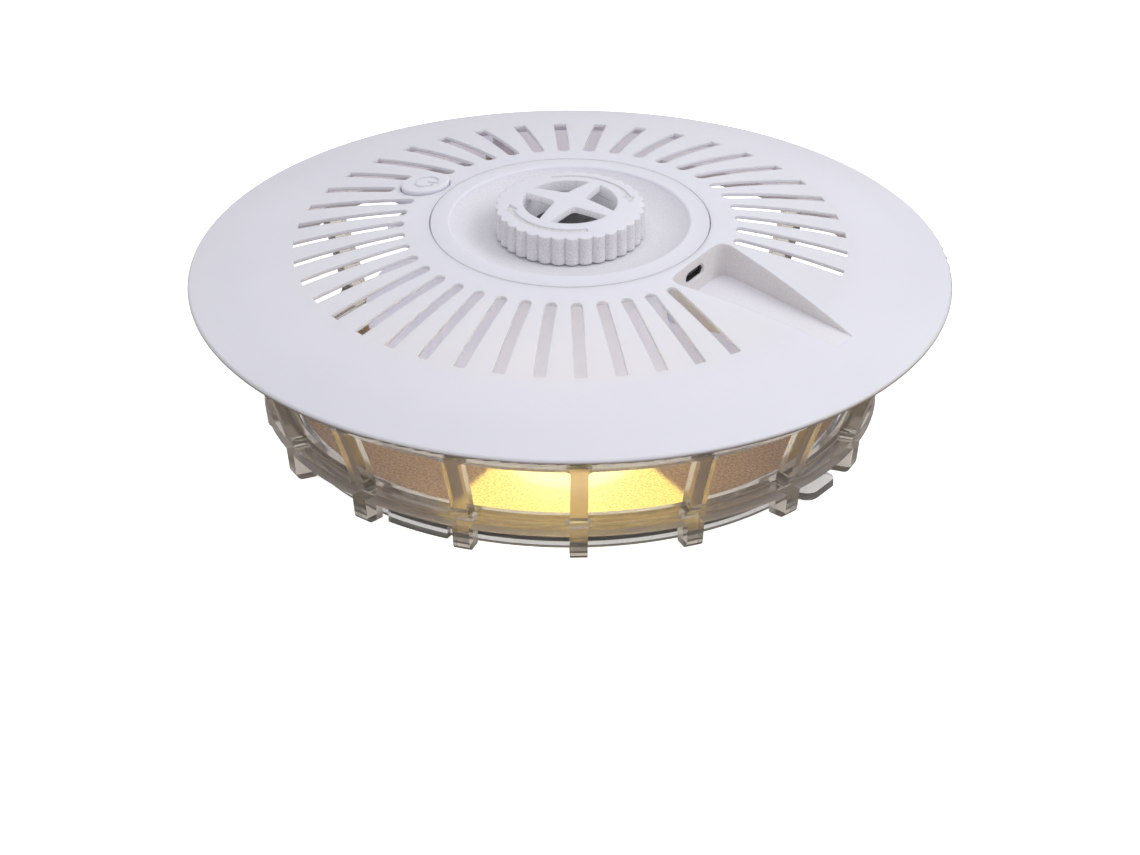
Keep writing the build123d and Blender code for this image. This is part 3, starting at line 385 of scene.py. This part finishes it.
def dress():
    """Give every CAD node its finish."""
    # The dome has painted light on its skirt and pocket floor, and painted shade on its rim's lower half.
    give(white_plastic("white_shell", pocket_grain_mask, SKIRT_PAINTED_LIGHT, dome_painted_light_mask, POCKET_TONES,
                       rim_painted_shade_mask), "dome_cover")
    give(white_plastic("white_button"), "power_button")
    # The lamp housing glows with painted light.
    give(white_plastic("white_painted_light", painted_light=HOUSING_PAINTED_LIGHT), "lamp_housing")
    give(white_plastic("white_bowl", bowl_mask, grain_tones=BOWL_TONES), "well_insert")
    # Painted light inside the knob's bore.
    give(white_plastic("white_knob", side_mask, BORE_PAINTED_LIGHT, bore_mask), "twist_knob", "lure_cup")
    give(clear_plastic("clear_cage", (0.50, 0.46, 0.41), (0.60, 0.55, 0.50)), "trap_cage")
    give(clear_plastic("clear_dish", (0.76, 0.75, 0.74), (0.84, 0.83, 0.82)), "glue_tray")
    give(sticky_glue(), "glue_layer")
    give(yellow_card(), "sticky_card")
    give(speckled("board_green", (0.02, 0.16, 0.05), (0.03, 0.24, 0.08), 0.3), "circuit_board")
    give(speckled("board_white", (0.70, 0.70, 0.72), (0.80, 0.80, 0.82), 0.3), "lamp_board", "button_board")
    give(speckled("screw_steel", (0.50, 0.50, 0.52), (0.66, 0.66, 0.68), 0.32, metallic=1.0),
         "button_board_screws", "board_screws", "housing_screws", "cage_screws")
    give(speckled("switch_black", (0.018, 0.018, 0.018), (0.035, 0.035, 0.035), 0.45),
         "tact_plunger", "tact_switch", "control_chip")
    give(speckled("wire_red", (0.45, 0.02, 0.015), (0.58, 0.035, 0.02), 0.4), "button_wires", "lamp_wires")
    give(speckled("seal_rubber", (0.05, 0.05, 0.05), (0.09, 0.09, 0.09), 0.7), "knob_seal")
    give(speckled("lure_grey", (0.05, 0.05, 0.054), (0.11, 0.11, 0.12), 0.8, 420.0, 0.6), "lure_block")
    give(speckled("socket_steel", (0.62, 0.62, 0.62), (0.76, 0.76, 0.76), 0.28, metallic=1.0), "usb_socket")
    give(speckled("socket_black", (0.012, 0.012, 0.012), (0.025, 0.025, 0.025), 0.5), "usb_tongue")
    give(speckled("can_aluminium", (0.68, 0.68, 0.70), (0.82, 0.82, 0.83), 0.3, metallic=1.0),
         "board_capacitors")
    give(speckled("reflector", (0.84, 0.84, 0.84), (0.92, 0.92, 0.92), 0.12, metallic=1.0),
         "lamp_reflector")
    give(glowing("lens_warm", (1.0, 0.93, 0.70), LENS_GLOW), "lamp_lens")
    give(glowing("led_warm", (1.0, 0.80, 0.40), LED_GLOW), "lamp_leds")


# ---------------------------------------------------------------- stage, lights and camera
VIEW_AZIMUTH = 32.1            # degrees round from the -Y side
VIEW_ELEVATION = 27.6
VIEW_DISTANCE = 75 * RIM_R
VIEW_DROP = 0.377 * RIM_R      # how far the frame's middle lies below the middle of the rim
RIM_MIDDLE = Vector((0, 0, 42.1 * MM))
SENSOR = 36.0
LENS_PER_DISTANCE = 12.085     # gives the object its share of the frame's width


def toward(azimuth, elevation):
    """The direction from the object to an eye at this azimuth and elevation."""
    turn, tilt = radians(azimuth), radians(elevation)
    return Vector((sin(turn) * cos(tilt), -cos(turn) * cos(tilt), sin(tilt)))


def set_camera():
    data = bpy.data.cameras.new("camera")
    data.sensor_width = SENSOR
    data.lens = LENS_PER_DISTANCE * VIEW_DISTANCE / RIM_R
    data.clip_start = 0.1
    data.clip_end = 50.0
    camera = bpy.data.objects.new("camera", data)
    bpy.context.scene.collection.objects.link(camera)
    back = toward(VIEW_AZIMUTH, VIEW_ELEVATION)
    up = toward(VIEW_AZIMUTH, VIEW_ELEVATION + 90)
    camera.location = RIM_MIDDLE - up * VIEW_DROP + back * VIEW_DISTANCE
    camera.rotation_mode = "QUATERNION"
    camera.rotation_quaternion = (-back).to_track_quat("-Z", "Y")
    bpy.context.scene.camera = camera


def lamp(name, kind, place, target, energy, colour, **settings):
    """A light at a place, turned towards a target."""
    data = bpy.data.lights.new(name, kind)
    data.energy = energy
    data.color = colour
    for key, value in settings.items():
        setattr(data, key, value)
    made = bpy.data.objects.new(name, data)
    made.location = place
    made.rotation_mode = "QUATERNION"
    made.rotation_quaternion = (Vector(target) - Vector(place)).to_track_quat("-Z", "Y")
    bpy.context.scene.collection.objects.link(made)
    return made


SKY = [(0.0, (0.24, 0.21, 0.18)), (0.46, (0.50, 0.48, 0.46)), (0.58, (0.74, 0.73, 0.72)),
       (0.85, (1.0, 1.0, 1.0))]  # from straight down to straight up
SKY_STRENGTH = 0.80


def set_sky():
    """An even studio: white from above, dimmer and warmer from the sides and from below."""
    world = bpy.data.worlds.new("studio")
    bpy.context.scene.world = world
    world.use_nodes = True
    tree = world.node_tree
    place = tree.nodes.new("ShaderNodeTexCoord").outputs["Generated"]
    split = tree.nodes.new("ShaderNodeSeparateXYZ")
    tree.links.new(place, split.inputs[0])
    half = tree.nodes.new("ShaderNodeMapRange")
    half.inputs["From Min"].default_value = -1.0
    tree.links.new(split.outputs["Z"], half.inputs["Value"])
    ramp = tree.nodes.new("ShaderNodeValToRGB")
    tree.links.new(half.outputs["Result"], ramp.inputs["Fac"])
    fill_ramp(ramp, SKY)
    background = tree.nodes["Background"]
    tree.links.new(ramp.outputs["Color"], background.inputs["Color"])
    background.inputs["Strength"].default_value = SKY_STRENGTH


FLOOR_REACH = 12.0
FLOOR_DROP = 0.2 * MM          # below the feet
FLOOR_LIGHT = 0.9


def set_floor():
    """A plain white floor that fills the view.  It doesn't light the object's diffuse or glossy faces."""
    mesh = bpy.data.meshes.new("floor")
    corners = ((-1, -1), (1, -1), (1, 1), (-1, 1))
    mesh.from_pydata([(FLOOR_REACH * x, FLOOR_REACH * y, 0) for x, y in corners], [], [(0, 1, 2, 3)])
    floor = bpy.data.objects.new("floor", mesh)
    floor.location.z = -FLOOR_DROP
    floor.visible_diffuse = False
    floor.visible_glossy = False
    bpy.context.scene.collection.objects.link(floor)
    look = Look("floor_paper")
    look.set(Base_Color=look.ramp(look.noise(3.0), [(0.3, (0.93, 0.93, 0.93)), (0.7, (0.96, 0.96, 0.96))]),
             Roughness=0.9, Specular_IOR_Level=0.1,
             Emission_Color=(1.0, 1.0, 1.0), Emission_Strength=FLOOR_LIGHT)
    mesh.materials.append(look.material)


LAMP_AZIMUTH = -57.3           # the way the lit fan of the disc points, in degrees from +X
LAMP_PITCH = -16.3
LAMP_CONE = 62.0
LAMP_WARM = (1.0, 0.94, 0.27)
LAMP_LEVEL = 6400.0
LAMP_DROP = 2.0 * MM           # below the lens
LAMP_EDGE = 0.18               # the soft part of the cone
LAMP_SIZE = 0.5 * MM
KEY_PLACE = (1.55, 0.6, 1.9)
KEY_POWER = 20.0
KEY_SIZE = 1.6


def even_fan(data):
    """Make the lamp's light grow with distance, to offset its shallower angle on the disc far out."""
    data.use_nodes = True
    tree = data.node_tree
    falloff = tree.nodes.new("ShaderNodeLightFalloff")
    falloff.inputs["Strength"].default_value = LAMP_LEVEL
    reach = tree.nodes.new("ShaderNodeLightPath").outputs["Ray Length"]
    product = tree.nodes.new("ShaderNodeMath")
    product.operation = "MULTIPLY"
    tree.links.new(falloff.outputs["Constant"], product.inputs[0])
    tree.links.new(reach, product.inputs[1])
    tree.links.new(product.outputs[0], tree.nodes["Emission"].inputs["Strength"])


def set_lights():
    lamp("key", "AREA", KEY_PLACE, (0, 0, 0), KEY_POWER, (1.0, 1.0, 1.0), shape="DISK",
         size=KEY_SIZE)
    start = Vector((0, 0, lens_low[2] - LAMP_DROP))
    turn, tilt = radians(LAMP_AZIMUTH), radians(LAMP_PITCH)
    aim = start + Vector((cos(turn) * cos(tilt), sin(turn) * cos(tilt), sin(tilt)))
    fan = lamp("trap_lamp", "SPOT", start, aim, 1.0, LAMP_WARM, spot_size=radians(LAMP_CONE),
               spot_blend=LAMP_EDGE, shadow_soft_size=LAMP_SIZE)
    fan.visible_glossy = False
    even_fan(fan.data)
    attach(fan, "housing")


dress()
set_camera()
set_sky()
set_floor()
set_lights()
bpy.context.scene.view_settings.view_transform = "Standard"
